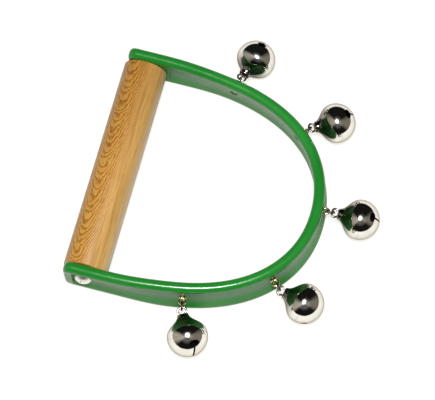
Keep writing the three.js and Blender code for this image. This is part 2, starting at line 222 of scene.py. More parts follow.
def boolean(obj, other, operation):
    """obj joined with or cut by other, which is used up."""
    step = obj.modifiers.new("step", "BOOLEAN")
    step.operation = operation
    step.solver = "EXACT"
    step.object = other
    bpy.context.view_layer.update()
    evaluated = obj.evaluated_get(bpy.context.evaluated_depsgraph_get())
    result = bpy.data.meshes.new_from_object(evaluated)
    obj.modifiers.clear()
    old = obj.data
    obj.data = result
    bpy.data.meshes.remove(old)
    bpy.data.meshes.remove(other.data)
    return obj


def cut(obj, *cutters):
    for cutter in cutters:
        boolean(obj, cutter, "DIFFERENCE")
    return obj


def round_angles(count):
    return [2 * math.pi * step / count for step in range(count)]


def smooth(share):
    """A share from 0 to 1, eased at both ends."""
    share = min(max(share, 0), 1)
    return share * share * (3 - 2 * share)


def loft(name, rings, closed=False):
    """Skin over rings of equally many points. An open loft gets an end cap on each end."""
    sides = len(rings[0])
    count = len(rings)
    vertices = [point for ring in rings for point in ring]
    faces = []
    for ring in range(count if closed else count - 1):
        start = ring * sides
        after = (ring + 1) % count * sides
        for side in range(sides):
            turn = (side + 1) % sides
            faces.append((start + side, start + turn, after + turn, after + side))
    if not closed:
        faces.append(tuple(range(sides))[::-1])
        faces.append(tuple((count - 1) * sides + side for side in range(sides)))
    return shade(mesh_object(name, vertices, faces))


def turned(name, profile, sides=ROUND_SIDES):
    """Turned solid about X. Each profile point is (place along X, diameter); the ends lie on the axis."""
    rings = []
    for along, diameter in profile:
        radius = max(diameter / 2, AXIS_RADIUS)
        rings.append([(along, radius * math.cos(a), radius * math.sin(a)) for a in round_angles(sides)])
    return loft(name, rings)


def rod(name, start, end, diameter, sides=HOLE_SIDES):
    """Straight round rod along X."""
    return turned(name, [(start, 0), (start, diameter), (end, diameter), (end, 0)], sides)


def wire(name, path, diameter):
    """Round wire along points of an open path that lies in one plane."""
    points = [Vector(p) for p in path]
    normal = (points[1] - points[0]).cross(points[len(points) // 2] - points[0]).normalized()
    rings = []
    for index, point in enumerate(points):
        along = points[min(index + 1, len(points) - 1)] - points[max(index - 1, 0)]
        across = normal.cross(along.normalized())
        spokes = [across * math.cos(a) + normal * math.sin(a) for a in round_angles(WIRE_SIDES)]
        rings.append([point + spoke * diameter / 2 for spoke in spokes])
    return loft(name, rings)


def torus(name, centre, radius, diameter):
    """Closed ring of round wire in the XY plane, with its centre on X."""
    rings = []
    for turn in round_angles(LOOP_STEPS):
        ring = []
        for angle in round_angles(WIRE_SIDES):
            reach = radius + diameter / 2 * math.cos(angle)
            rise = diameter / 2 * math.sin(angle)
            ring.append((centre + reach * math.cos(turn), reach * math.sin(turn), rise))
        rings.append(ring)
    return loft(name, rings, closed=True)


def block(name, size, centre):
    halves = (-0.5, 0.5)
    corners = [(x, y, z) for x in halves for y in halves for z in halves]
    vertices = [tuple(c * s + m for c, s, m in zip(corner, size, centre)) for corner in corners]
    faces = [(0, 1, 3, 2), (4, 6, 7, 5), (0, 4, 5, 1), (2, 3, 7, 6), (0, 2, 6, 4), (1, 5, 7, 3)]
    return shade(mesh_object(name, vertices, faces))


def placed(obj, matrix):
    """obj moved by a matrix, with its place in its vertices."""
    obj.data.transform(matrix)
    return obj


def axes_matrix(origin, x_axis, z_axis):
    """Turn and shift that takes a piece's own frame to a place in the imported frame."""
    x_axis = Vector(x_axis).normalized()
    y_axis = Vector(z_axis).cross(x_axis).normalized()
    z_axis = x_axis.cross(y_axis)
    turn = Matrix((x_axis, y_axis, z_axis)).transposed().to_4x4()
    return Matrix.Translation(origin) @ turn


def piece(obj, node, body, material):
    """Puts a finished mesh in the place of its node."""
    obj.name = node + "_look"
    obj.data.name = obj.name
    obj.data.materials.clear()
    obj.data.materials.append(material)
    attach(obj, body)
    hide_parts(node)


# Places from the frame. The bow and grip are modelled about the grip's middle.

grip_low, grip_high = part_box("grip")
grip_middle = (grip_low + grip_high) / 2
from_grip = Matrix.Translation(grip_middle)
joints = {joint["name"]: joint for joint in frame["joints"]}


# Materials. Noise scales are per metre, and colours are linear.

NOISE_SPREAD = (0.3, 0.7)
UNIFORM = (1, 1, 1)

# Sockets of a Mix node that mixes colours
MIX_FACTOR = 0
MIX_FIRST = 6
MIX_SECOND = 7
MIX_RESULT = 2


def opaque(colour):
    return (*colour, 1)


class Shader:
    """The nodes of a material or world, with short ways to add and link them."""

    def __init__(self, owner, shader):
        owner.use_nodes = True
        self.owner = owner
        self.tree = owner.node_tree
        self.main = self.tree.nodes[shader]

    def add(self, kind, inputs=None, **settings):
        node = self.tree.nodes.new("ShaderNode" + kind)
        for key, value in settings.items():
            setattr(node, key, value)
        for key, value in (inputs or {}).items():
            self.set(node, key, value)
        return node

    def set(self, node, key, value):
        """Links a socket, or sets a constant, on an input."""
        if isinstance(value, bpy.types.NodeSocket):
            self.tree.links.new(value, node.inputs[key])
        else:
            node.inputs[key].default_value = value

    def surface(self, **inputs):
        for key, value in inputs.items():
            self.set(self.main, key.replace("_", " "), value)

    def place(self, stretch=UNIFORM):
        """Object coordinates, in metres, stretched."""
        inputs = {0: self.add("TexCoord").outputs["Object"], 1: stretch}
        return self.add("VectorMath", inputs, operation="MULTIPLY").outputs[0]

    def dot(self, vector, axis):
        return self.add("VectorMath", {0: vector, 1: axis}, operation="DOT_PRODUCT").outputs["Value"]

    def distance_along(self, direction, start):
        """Millimetres from a start point, along a direction."""
        metres = self.math("SUBTRACT", self.dot(self.place(), direction), direction.dot(start))
        return self.math("DIVIDE", metres, MM)

    def noise(self, scale, detail, stretch=UNIFORM, roughness=0.5):
        inputs = {"Vector": self.place(stretch), "Scale": scale, "Detail": detail, "Roughness": roughness}
        return self.add("TexNoise", inputs).outputs["Fac"]

    def math(self, operation, first, second=0.0):
        return self.add("Math", {0: first, 1: second}, operation=operation).outputs[0]

    def remap(self, value, ends, spread=NOISE_SPREAD, kind="LINEAR"):
        """A value that runs from one end to the other over its spread."""
        start, end = spread
        first, last = ends
        inputs = {"Value": value, "From Min": start, "From Max": end, "To Min": first, "To Max": last}
        return self.add("MapRange", inputs, interpolation_type=kind).outputs["Result"]

    def ramp(self, value, stops):
        node = self.add("ValToRGB", {"Fac": value})
        elements = node.color_ramp.elements
        middle = 0.5
        while len(elements) < len(stops):
            elements.new(middle)
        for element, (position, colour) in zip(elements, stops):
            element.position = position
            element.color = opaque(colour)
        return node.outputs["Color"]

    def tones(self, value, low, high, spread=NOISE_SPREAD):
        """Colour from a low tone to a high one over the value's spread."""
        return self.ramp(value, list(zip(spread, (low, high))))

    def mix(self, factor, first, second, blend="MIX"):
        node = self.add("Mix", data_type="RGBA", blend_type=blend)
        self.set(node, MIX_FACTOR, factor)
        for key, colour in ((MIX_FIRST, first), (MIX_SECOND, second)):
            self.set(node, key, colour if isinstance(colour, bpy.types.NodeSocket) else opaque(colour))
        return node.outputs[MIX_RESULT]

    def bump(self, height, depth):
        """Relief of a depth in millimetres."""
        node = self.add("Bump", {"Height": height, "Distance": depth * MM})
        self.surface(Normal=node.outputs["Normal"])


def new_shader(name):
    return Shader(bpy.data.materials.new(name), "Principled BSDF")


# Green plastic
PLASTIC_DEEP = (0.012, 0.215, 0.023)
PLASTIC_PALE = (0.020, 0.262, 0.032)
SMUDGE_ROUGHNESS = (0.12, 0.21)
SCRATCH_ROUGHNESS = (0, 0.04)
WEB_ROUGHNESS = 0.14
RIM_BLEND = 1
PLASTIC_IOR = 1.49
PLASTIC_RIPPLE = 0.04


def green_plastic():
    """Moulded plastic, matte on the web and worn smooth on the two rims."""
    shader = new_shader("green_plastic")
    colour = shader.tones(shader.noise(scale=35, detail=3), PLASTIC_DEEP, PLASTIC_PALE)
    height = shader.distance_along(Vector((0, 0, 1)), grip_middle)
    web_edge = BOW_WIDTH / 2 - RIM_DIAMETER
    blend = (web_edge - RIM_BLEND, web_edge + RIM_BLEND)
    matte = shader.remap(shader.math("ABSOLUTE", height), (WEB_ROUGHNESS, 0), blend)
    smudges = shader.remap(shader.noise(scale=160, detail=6, roughness=0.65), SMUDGE_ROUGHNESS)
    scratches = shader.remap(shader.noise(scale=900, detail=2, stretch=(1, 1, 8)), SCRATCH_ROUGHNESS)
    roughness = shader.math("ADD", shader.math("ADD", smudges, scratches), matte)
    shader.surface(Base_Color=colour, Roughness=roughness, IOR=PLASTIC_IOR)
    shader.bump(shader.noise(scale=240, detail=2), PLASTIC_RIPPLE)
    return shader.owner


# Wood. The growth layers are planes that lie nearly along the grip, so they show as scallops where they
# graze it. They wander and fray by a share of their spacing. The layers give way to plain wood and that
# to a pale painted light between two depths each, measured from the grip's middle towards the heart of
# the tree.
LAYER_SPACING = 0.55
LAYER_TILT = 8
LAYER_WANDER = 0.7
LAYER_FRAY = 0.24
HEART_SIDE = -30
LAYER_STOPS = (
    (0, (0.67, 0.37, 0.088)),
    (0.45, (0.61, 0.315, 0.066)),
    (0.75, (0.41, 0.168, 0.023)),
    (0.9, (0.29, 0.098, 0.011)),
    (1, (0.59, 0.305, 0.062)))
PLAIN_DEPTHS = (9.5, 6.5)
PLAIN_SHARE = 0.95
PLAIN_STOPS = (
    (0.36, (0.52, 0.285, 0.078)),
    (0.5, (0.68, 0.39, 0.118)),
    (0.66, (0.75, 0.45, 0.145)))
# Painted light: the grip grows paler on the side away from the heart, standing in for the varnish's sheen
# and the floor's bounce
PALE_LIGHT_DEPTHS = (3.5, -5.5)
PALE_LIGHT_SHARE = 0.9
PAINTED_PALE_LIGHT = (0.86, 0.66, 0.40)
FIBRE_SHADE = (0.72, 0.62, 0.50)
FIBRE_SPREAD = (0.34, 0.5)
FIBRE_SHARE = 0.75
FIBRE_DEPTH = 0.04
FAR_END_TINT = (0.80, 0.75, 0.66)
WOOD_ROUGHNESS = (0.42, 0.32)
WOOD_IOR = 1.47
NO_TINT = (1, 1, 1)


def layer_phase(shader, heartward):
    """How far a point lies through its growth layer, from 0 to 1."""
    tilt = math.radians(LAYER_TILT)
    across = heartward * math.cos(tilt) + Vector((0, math.sin(tilt), 0))
    layers = shader.math("DIVIDE", shader.distance_along(across, grip_middle), LAYER_SPACING)
    bends = shader.noise(scale=120, detail=2, stretch=(0.6, 1, 0.6))
    frays = shader.noise(scale=1300, detail=3, stretch=(1, 0.3, 1))
    wander = shader.remap(bends, (-LAYER_WANDER, LAYER_WANDER))
    fray = shader.remap(frays, (-LAYER_FRAY, LAYER_FRAY))
    return shader.math("FRACT", shader.math("ADD", shader.math("ADD", layers, wander), fray))


def grip_wood():
    """Varnished wood: growth layers on the heart side, a pale painted light opposite, darker at the far
    end.
    """
    shader = new_shader("grip_wood")
    side = math.radians(HEART_SIDE)
    heartward = Vector((math.sin(side), 0, math.cos(side)))
    layers = shader.ramp(layer_phase(shader, heartward), LAYER_STOPS)
    plain = shader.ramp(shader.noise(scale=420, detail=3, stretch=(1, 0.03, 1)), PLAIN_STOPS)
    depth = shader.distance_along(heartward, grip_middle)
    plainness = shader.remap(depth, (0, PLAIN_SHARE), PLAIN_DEPTHS, "SMOOTHSTEP")
    # Painted light towards the side away from the heart
    pale_light = shader.remap(depth, (0, PALE_LIGHT_SHARE), PALE_LIGHT_DEPTHS, "SMOOTHSTEP")
    colour = shader.mix(pale_light, shader.mix(plainness, layers, plain), PAINTED_PALE_LIGHT)
    fibres = shader.noise(scale=2600, detail=3, stretch=(1, 0.035, 1), roughness=0.6)
    grain = shader.tones(fibres, FIBRE_SHADE, NO_TINT, FIBRE_SPREAD)
    colour = shader.mix(FIBRE_SHARE, colour, grain, "MULTIPLY")
    length = shader.distance_along(Vector((0, 1, 0)), grip_middle)
    far = shader.remap(length, (0, 1), (0, GRIP_LENGTH / 2))
    colour = shader.mix(far, colour, FAR_END_TINT, "MULTIPLY")
    shader.surface(Base_Color=colour, Roughness=shader.remap(fibres, WOOD_ROUGHNESS), IOR=WOOD_IOR)
    shader.bump(fibres, FIBRE_DEPTH)
    return shader.owner


# Metals
STAIN_SPREAD = (0.35, 0.65)

# Bell plate. Two marks on a shell's mesh say where it is inside and how near a point is to the neck; the
# neck's mark sets where painted shade darkens the plate.
INSIDE_MARK = "inside"
NECK_SHADE_MARK = "neck"
PLATE_DULL = (0.76, 0.735, 0.68)
PLATE_BRIGHT = (0.85, 0.83, 0.785)
PLATE_EDGE_TINT = (0.40, 0.37, 0.33)
PLATE_ROUGHNESS = (0.05, 0.10)
PLATE_RIPPLE = 0.06
# Painted shade towards the neck, standing in for the shadowed bow that the crown mirrors
NECK_PAINTED_SHADE = (0.27, 0.25, 0.225)
# Bare metal inside a shell, darkened nearly to black by painted shade
BARE_METAL_IN_PAINTED_SHADE = (0.055, 0.048, 0.040)
BARE_ROUGHNESS = 0.5


def bell_plate():
    """Bright plate, darkened towards the neck by painted shade. The inside of a shell is bare metal,
    darkened by painted shade.
    """
    shader = new_shader("bell_plate")
    inside = shader.add("Attribute", attribute_name=INSIDE_MARK).outputs["Fac"]
    neck_shade = shader.add("Attribute", attribute_name=NECK_SHADE_MARK).outputs["Fac"]
    tarnish = shader.noise(scale=220, detail=5, roughness=0.6)
    bright = shader.tones(tarnish, PLATE_DULL, PLATE_BRIGHT, STAIN_SPREAD)
    # Painted shade darkens the plate towards the neck and inside the shell
    colour = shader.mix(inside, shader.mix(neck_shade, bright, NECK_PAINTED_SHADE), BARE_METAL_IN_PAINTED_SHADE)
    gloss = shader.remap(tarnish, PLATE_ROUGHNESS)
    dull = shader.math("MULTIPLY", inside, BARE_ROUGHNESS)
    shader.surface(Base_Color=colour, Metallic=1.0, Roughness=shader.math("ADD", gloss, dull))
    shader.surface(Specular_Tint=opaque(PLATE_EDGE_TINT))
    shader.bump(shader.noise(scale=210, detail=2), PLATE_RIPPLE)
    return shader.owner


def stained_metal(name, low, high, stain, roughness, grain, depth, metallic=1.0):
    """Metal stained from a low tone to a high one, with a fine grain of a depth in millimetres.
    The stain and the grain are each a noise's scale and detail."""
    shader = new_shader(name)
    stains = shader.noise(*stain)
    colour = shader.tones(stains, low, high, STAIN_SPREAD)
    shader.surface(Base_Color=colour, Metallic=metallic, Roughness=shader.remap(stains, roughness))
    shader.bump(shader.noise(*grain), depth)
    return shader.owner


def drawn_wire():
    return stained_metal(
        "wire_steel", low=(0.17, 0.158, 0.138), high=(0.34, 0.322, 0.29), stain=(700, 4),
        roughness=(0.13, 0.24), grain=(2400, 2), depth=0.02)


def scaly_iron():
    return stained_metal(
        "pellet_iron", low=(0.022, 0.019, 0.016), high=(0.060, 0.050, 0.041), stain=(900, 5),
        roughness=(0.55, 0.75), grain=(900, 5), depth=0.05, metallic=0.4)


def bright_brass():
    return stained_metal(
        "eye_brass", low=(0.62, 0.46, 0.22), high=(0.86, 0.73, 0.46), stain=(600, 4),
        roughness=(0.14, 0.24), grain=(2000, 2), depth=0.02)


def zinc_plate():
    return stained_metal(
        "screw_steel", low=(0.82, 0.80, 0.74), high=(0.93, 0.91, 0.86), stain=(500, 4),
        roughness=(0.36, 0.5), grain=(1500, 3), depth=0.03)


plastic = green_plastic()
wood = grip_wood()
plate = bell_plate()
steel = drawn_wire()
iron = scaly_iron()
brass = bright_brass()
zinc = zinc_plate()


# Bow

RIM_RADIUS = RIM_DIAMETER / 2
OUTER_WEB = RIM_RADIUS - OUTER_HOLLOW
INNER_WEB = RIM_RADIUS - INNER_HOLLOW
WALL_OFFSET = GRIP_LENGTH / 2 + SEAT_CLEARANCE + RIM_RADIUS
INNER_START = BOW_TAIL + GRIP_DIAMETER / 2 + SEAT_MARGIN


def bow_line():
    """Points of the middle line of the bow's wall, and the length up to each."""
    angle = np.linspace(math.pi / 2, 0, BOW_LINE_POINTS)
    x = BOW_LEG + (BOW_REACH - BOW_LEG) * np.clip(np.cos(angle), 0, 1) ** (2 / SHOULDER_FULLNESS)
    y = -WALL_OFFSET * np.sin(angle) ** (2 / CROWN_FULLNESS)
    tail_x = np.linspace(-BOW_TAIL, BOW_LEG, TAIL_POINTS)[:-1]
    tail_y = np.full(len(tail_x), -WALL_OFFSET)
    half = np.array([np.concatenate([tail_x, x]), np.concatenate([tail_y, y])]).T
    points = np.concatenate([half, half[-2::-1] * (1, -1)])
    lengths = np.concatenate([[0], np.cumsum(np.hypot(*np.diff(points, axis=0).T))])
    return points, lengths


bow_points, bow_lengths = bow_line()
BOW_LENGTH = bow_lengths[-1]


def on_bow(distance):
    return Vector(np.interp(distance, bow_lengths, axis) for axis in bow_points.T)


def station(distance):
    """A place on the bow: the wall's middle, the heading out of it and its lean, in radians."""
    ahead = on_bow(min(distance + HEADING_STEP, BOW_LENGTH)) - on_bow(max(distance - HEADING_STEP, 0))
    point = on_bow(distance)
    lean = math.radians(BOW_LEAN) * smooth((point.x - GRIP_DIAMETER / 2) / LEAN_RUN)
    return point, math.atan2(-ahead.x, ahead.y), lean


def round_draw(radius, distance):
    """How far a rounded corner draws in, at a distance from the end."""
    inside = max(radius - distance, 0)
    return radius - math.sqrt(radius * radius - inside * inside)


def arc(middle, radius, start, end, steps):
    angles = np.linspace(start, end, steps + 1)
    return [(middle[0] + radius * math.cos(a), middle[1] + radius * math.sin(a)) for a in angles]


def wall_quarter(rim, height, depth, web_round):
    """Outline of a quarter of the wall, from the web up over a fillet and round the rim to its crest."""
    fillet = web_round * min(depth / FULL_FILLET_DEPTH, 1)
    turn = math.acos((rim - depth + fillet) / (rim + fillet))
    corner = (rim - depth + fillet, height - (rim + fillet) * math.sin(turn))
    web = [(rim - depth, corner[1] - EDGE_LOOP)]
    foot = arc(corner, fillet, math.pi, math.pi - turn, FILLET_STEPS)
    return web + foot[:-1] + arc((0, height), rim, -turn, math.pi / 2, RIM_STEPS)


def wall_section(from_end):
    """Closed outline of the wall as (outward, up): two round rims with a thinner web between them."""
    rim = RIM_RADIUS - round_draw(BOW_TIP_ROUND, from_end)
    height = BOW_WIDTH / 2 - round_draw(BOW_END_ROUND, from_end) - rim
    start, end = FILLET_GROWTH
    web_round = END_FILLET + (WEB_FILLET - END_FILLET) * smooth((from_end - start) / (end - start))
    outer_depth = OUTER_HOLLOW * smooth((from_end - END_PAD) / HOLLOW_RAMP)
    inner_depth = INNER_HOLLOW * smooth((from_end - INNER_START) / HOLLOW_RAMP)
    outer = wall_quarter(rim, height, outer_depth, web_round)
    inner = wall_quarter(rim, height, inner_depth, web_round)
    upper = outer + [(-x, y) for x, y in inner[-2::-1]]
    lower = [(-x, -y) for x, y in inner] + [(x, -y) for x, y in outer[-2::-1]]
    return upper + lower


def bow_distances():
    """Places of the bow's sections, closer together where it rounds off and where its hollows start."""
    half = [BOW_END_ROUND * (1 - math.cos(step / END_STEPS * math.pi / 2)) for step in range(END_STEPS)]
    half.extend(np.arange(BOW_END_ROUND, BOW_LENGTH / 2, BOW_LENGTH / BOW_SECTIONS))
    for start in (END_PAD, INNER_START):
        half.extend(start + HOLLOW_RAMP * step / RAMP_STEPS for step in range(RAMP_STEPS + 1))
    half.sort()
    return [*half, BOW_LENGTH / 2, *[BOW_LENGTH - distance for distance in reversed(half)]]


def bow_blank():
    rings = []
    for distance in bow_distances():
        point, heading, lean = station(distance)
        ring = []
        for outward, up in wall_section(min(distance, BOW_LENGTH - distance)):
            reach = outward * math.cos(lean) - up * math.sin(lean)
            rise = up * math.cos(lean) + outward * math.sin(lean)
            ring.append((point.x + reach * math.cos(heading), point.y + reach * math.sin(heading), rise))
        rings.append(ring)
    return loft("bow_blank", rings)


# Grip

def grip_body():
    half = GRIP_LENGTH / 2
    end = []
    for angle in np.linspace(math.pi / 2, 0, GRIP_ROUND_STEPS + 1):
        drop = GRIP_END_ROUND * (1 - math.cos(angle))
        inset = GRIP_END_ROUND * (1 - math.sin(angle))
        end.append((half - drop, GRIP_DIAMETER - 2 * inset))
    other_end = [(-along, diameter) for along, diameter in reversed(end)]
    body = turned("grip", [(-half, 0), *other_end, *end, (half, 0)])
    return placed(body, from_grip @ Matrix.Rotation(math.pi / 2, 4, "Z"))


# Screws lie along X from the top of their domed head.

def screw_body():
    head = SCREW_HEAD_DIAMETER / 2
    dome_radius = (head ** 2 + SCREW_HEAD_HEIGHT ** 2) / (2 * SCREW_HEAD_HEIGHT)
    angles = np.linspace(0, math.asin(head / dome_radius), SCREW_DOME_POINTS)
    crown = [(dome_radius * (1 - math.cos(a)), 2 * dome_radius * math.sin(a)) for a in angles]
    body = turned("screw", [
        *crown,
        (SCREW_HEAD_HEIGHT, SCREW_SHANK_DIAMETER),
        (SCREW_LENGTH - SCREW_POINT, SCREW_SHANK_DIAMETER),
        (SCREW_LENGTH, 0)])
    upright = block("slot", (2 * RECESS_DEPTH, RECESS_WIDTH, RECESS_SPAN), (0, 0, 0))
    level = block("slot", (2 * RECESS_DEPTH, RECESS_SPAN, RECESS_WIDTH), (0, 0, 0))
    return cut(body, upright, level)


def screw_cutter():
    start = SCREW_HEAD_HEIGHT - CUT_MARGIN
    end = SCREW_LENGTH + SCREW_CLEARANCE
    way = SCREW_SHANK_DIAMETER + 2 * SCREW_CLEARANCE
    return rod("screw_way", start, end, way)


def at_grip_end(side):
    """Frame of a screw: X runs from its head into the grip."""
    reach = WALL_OFFSET + OUTER_WEB + SCREW_CLEARANCE + SCREW_HEAD_HEIGHT
    start = Vector((0, side * reach * MM, 0)) + grip_middle
    return axes_matrix(start, (0, -side, 0), (0, 0, 1))


# Eyes: X points out of the leaning wall, from the wall's middle.

EYE_MEAN_RADIUS = (EYE_BORE + EYE_WIRE) / 2
EYE_COLLAR_FOOT = OUTER_WEB + EYE_CLEARANCE
EYE_COLLAR_TOP = EYE_COLLAR_FOOT + EYE_COLLAR
EYE_CENTRE = EYE_COLLAR_TOP + EYE_MEAN_RADIUS + EYE_WIRE / 2 - EYE_NECK
COUNTERBORE_FLOOR = COUNTERBORE_DEPTH - INNER_WEB


def eye_matrix(place):
    point, heading, lean = station(BOW_LENGTH / 2 + place)
    turn = Matrix.Rotation(heading, 4, "Z") @ Matrix.Rotation(-lean, 4, "Y")
    return from_grip @ Matrix.Translation((point.x * MM, point.y * MM, 0)) @ turn


def eye_body():
    """Stem with a collar and a peened end, and the loop on it."""
    rivet = COUNTERBORE_FLOOR - EYE_CLEARANCE
    rivet_end = rivet - EYE_RIVET
    stem = turned("eye", [
        (rivet_end, 0),
        (rivet_end, EYE_RIVET_FACE),
        (rivet_end + EYE_RIVET_EDGE, EYE_RIVET_DIAMETER),
        (rivet, EYE_RIVET_DIAMETER),
        (rivet, EYE_SHANK_DIAMETER),
        (EYE_COLLAR_FOOT, EYE_SHANK_DIAMETER),
        (EYE_COLLAR_FOOT, EYE_COLLAR_DIAMETER),
        (EYE_COLLAR_TOP - EYE_COLLAR_EDGE, EYE_COLLAR_DIAMETER),
        (EYE_COLLAR_TOP, EYE_COLLAR_FACE),
        (EYE_COLLAR_TOP, 0)], HOLE_SIDES)
    return boolean(stem, torus("loop", EYE_CENTRE, EYE_MEAN_RADIUS, EYE_WIRE), "UNION")


def eye_cutter():
    """Hole through the web, with a counterbore whose edge is broken."""
    inside = -INNER_WEB - CUT_MARGIN
    outside = OUTER_WEB + CUT_MARGIN
    way = EYE_SHANK_DIAMETER + 2 * EYE_CLEARANCE
    return turned("eye_way", [
        (inside, 0),
        (inside, COUNTERBORE_DIAMETER + 2 * (HOLE_BREAK + CUT_MARGIN)),
        (-INNER_WEB + HOLE_BREAK, COUNTERBORE_DIAMETER),
        (COUNTERBORE_FLOOR, COUNTERBORE_DIAMETER),
        (COUNTERBORE_FLOOR, way),
        (outside, way),
        (outside, 0)], HOLE_SIDES)


# Links: X runs from the eye's outer wire to the bell, and the ring stands upright.

LINK_MEAN_RADIUS = (LINK_BORE + LINK_WIRE) / 2
LINK_CENTRE = LINK_MEAN_RADIUS - (EYE_WIRE + LINK_WIRE) / 2 - LINK_CLEARANCE


def link_body():
    """Wire ring with its butt gap at the top."""
    top = math.pi / 2
    half_gap = LINK_BUTT_GAP / LINK_MEAN_RADIUS / 2
    path = []
    for angle in np.linspace(top + half_gap, top + 2 * math.pi - half_gap, LOOP_STEPS):
        along = LINK_CENTRE + LINK_MEAN_RADIUS * math.cos(angle)
        path.append((along, 0, LINK_MEAN_RADIUS * math.sin(angle)))
    return wire("link", path, LINK_WIRE)


# Bells: the middle of the seam is the origin, the neck points to -X and the slit's pole to +X.

BELL_RADIUS = BELL_DIAMETER / 2
BELL_INNER_RADIUS = BELL_RADIUS - BELL_WALL
PELLET_RADIUS = PELLET_DIAMETER / 2

# A face is inside when its normal's share along the way out from the bell's middle is below this.
INWARD = -0.3

# Distances from the seam between which the painted shade towards the neck sets in
NECK_SHADE_RUN = (2, 8.5)


def crown_curve(depth):
    """The crown from the seam up its shoulder and in to the neck, at a depth below the outside."""
    pulls = np.array([
        (-BELL_SEAM / 2, BELL_RADIUS - depth),
        (depth - CROWN_SHOULDER, BELL_RADIUS - depth),
        (depth - CROWN_WAIST, CROWN_WAIST_DIAMETER / 2 - depth),
        (depth - CROWN_HEIGHT, NECK_DIAMETER / 2 - depth)])
    points = []
    for share in np.linspace(0, 1, DOME_POINTS):
        rest = 1 - share
        weights = (rest ** 3, 3 * rest * rest * share, 3 * rest * share * share, share ** 3)
        along, radius = np.dot(weights, pulls)
        points.append((along, 2 * radius))
    return points


def crown_body():
    """Upper shell with a rounded neck and two holes for the shank's legs."""
    inner_top = BELL_WALL - CROWN_HEIGHT
    outside = [point for point in crown_curve(0)[::-1] if point[0] > NECK_ROUND - CROWN_HEIGHT]
    shell = turned("crown", [
        (-CROWN_HEIGHT, 0),
        (-CROWN_HEIGHT, NECK_DIAMETER - 2 * NECK_ROUND),
        (NECK_EDGE - CROWN_HEIGHT, NECK_DIAMETER - 2 * NECK_EDGE),
        *outside,
        *crown_curve(BELL_WALL),
        (inner_top, 0)])
    start = -CROWN_HEIGHT - CUT_MARGIN
    end = inner_top + CUT_MARGIN
    width = SHANK_WIRE + 2 * SHANK_CLEARANCE
    ways = []
    for side in (-1, 1):
        way = rod("leg_way", start, end, width, WIRE_SIDES)
        ways.append(placed(way, Matrix.Translation((0, side * SHANK_SPAN / 2 * MM, 0))))
    return cut(shell, *ways)


def dome(radius):
    rim = math.asin(BELL_SEAM / 2 / radius)
    latitudes = np.linspace(rim, math.pi / 2, DOME_POINTS)
    return [(radius * math.sin(a), 2 * radius * math.cos(a)) for a in latitudes]


def base_body(roll):
    """Lower shell with its slit, turned about the bell's axis by a roll."""
    shell = turned("base", [*dome(BELL_INNER_RADIUS)[::-1], *dome(BELL_RADIUS)])
    angle = math.radians(SLIT_HOLE_ANGLE)
    start = BELL_RADIUS * math.cos(angle)
    end = BELL_RADIUS + CUT_MARGIN
    slit_length = 2 * BELL_RADIUS * math.sin(angle)
    slit = block("slit", (end - start, SLIT_WIDTH, slit_length), ((start + end) / 2, 0, 0))
    bottom = BELL_INNER_RADIUS - CUT_MARGIN
    widen = Matrix.Scale(SLIT_HOLE_BREADTH / SLIT_HOLE_LENGTH, 4, (0, 1, 0))
    holes = []
    for side in (-1, 1):
        hole = rod("slit_hole", bottom, end, SLIT_HOLE_LENGTH)
        holes.append(placed(hole, Matrix.Rotation(side * angle, 4, "Y") @ widen))
    return placed(cut(shell, slit, *holes), Matrix.Rotation(math.radians(roll), 4, "X"))


def mark_shell(shell):
    """Marks a shell in its own frame: the faces inside it, and its points by how near the neck is, for
    the painted shade there.
    """
    inside = [face.normal.dot(face.center.normalized()) < INWARD for face in shell.data.polygons]
    mark = shell.data.attributes.new(INSIDE_MARK, "FLOAT", "FACE")
    mark.data.foreach_set("value", [float(is_inside) for is_inside in inside])
    start, end = NECK_SHADE_RUN
    heights = [-vertex.co.x / MM for vertex in shell.data.vertices]
    # Share of painted shade towards the neck, kept in the neck mark
    stain = shell.data.attributes.new(NECK_SHADE_MARK, "FLOAT", "POINT")
    stain.data.foreach_set("value", [smooth((height - start) / (end - start)) for height in heights])
    return shell


def shank_body():
    """Wire through the neck, bent to a loop that swells above it."""
    half = [(SHANK_DEPTH * (1 - share), SHANK_SPAN / 2) for share in np.linspace(0, 1, LEG_POINTS)]
    for share in np.linspace(0, 1, FLARE_POINTS)[1:]:
        span = SHANK_SPAN + (SHANK_BULGE - SHANK_SPAN) * smooth(share)
        half.append((-SHANK_BULGE_RISE * share, span / 2))
    for angle in np.linspace(0, math.pi / 2, BEND_POINTS)[1:]:
        rise = SHANK_BULGE_RISE + (SHANK_RISE - SHANK_BULGE_RISE) * math.sin(angle)
        half.append((-rise, SHANK_BULGE / 2 * math.cos(angle)))
    up = [(x - CROWN_HEIGHT, -y, 0) for x, y in half]
    down = [(x - CROWN_HEIGHT, y, 0) for x, y in half[-2::-1]]
    return wire("shank", up + down, SHANK_WIRE)


def pellet_body(number):
    """Ball with slight dents, which differ with its number."""
    shape = bmesh.new()
    bmesh.ops.create_icosphere(shape, subdivisions=PELLET_SUBDIVISIONS, radius=PELLET_RADIUS * MM)
    shift = Vector((number, 0, 0))
    for vertex in shape.verts:
        dent = PELLET_DENT * abs(noise.noise(vertex.co / MM * DENTS_PER_MM + shift))
        vertex.co *= 1 - dent / PELLET_RADIUS
    mesh = bpy.data.meshes.new("pellet")
    shape.to_mesh(mesh)
    shape.free()
    return shade(scene_object("pellet", mesh))


# The bow, the grip and the screws

screw_ways = [placed(screw_cutter(), at_grip_end(side)) for side in (-1, 1)]
grip_ways = [placed(screw_cutter(), at_grip_end(side)) for side in (-1, 1)]
eye_ways = [placed(eye_cutter(), eye_matrix(place)) for place in EYE_PLACES]
bow = placed(bow_blank(), from_grip)
piece(shade(cut(bow, *screw_ways, *eye_ways)), "bow", "frame", plastic)
piece(shade(cut(grip_body(), *grip_ways)), "grip", "frame", wood)
for name, side in (("screw_near", -1), ("screw_far", 1)):
    piece(shade(placed(screw_body(), at_grip_end(side))), name, "frame", zinc)


# The eyes, links and bells. A bell's middle is halfway along its pellet's slide.

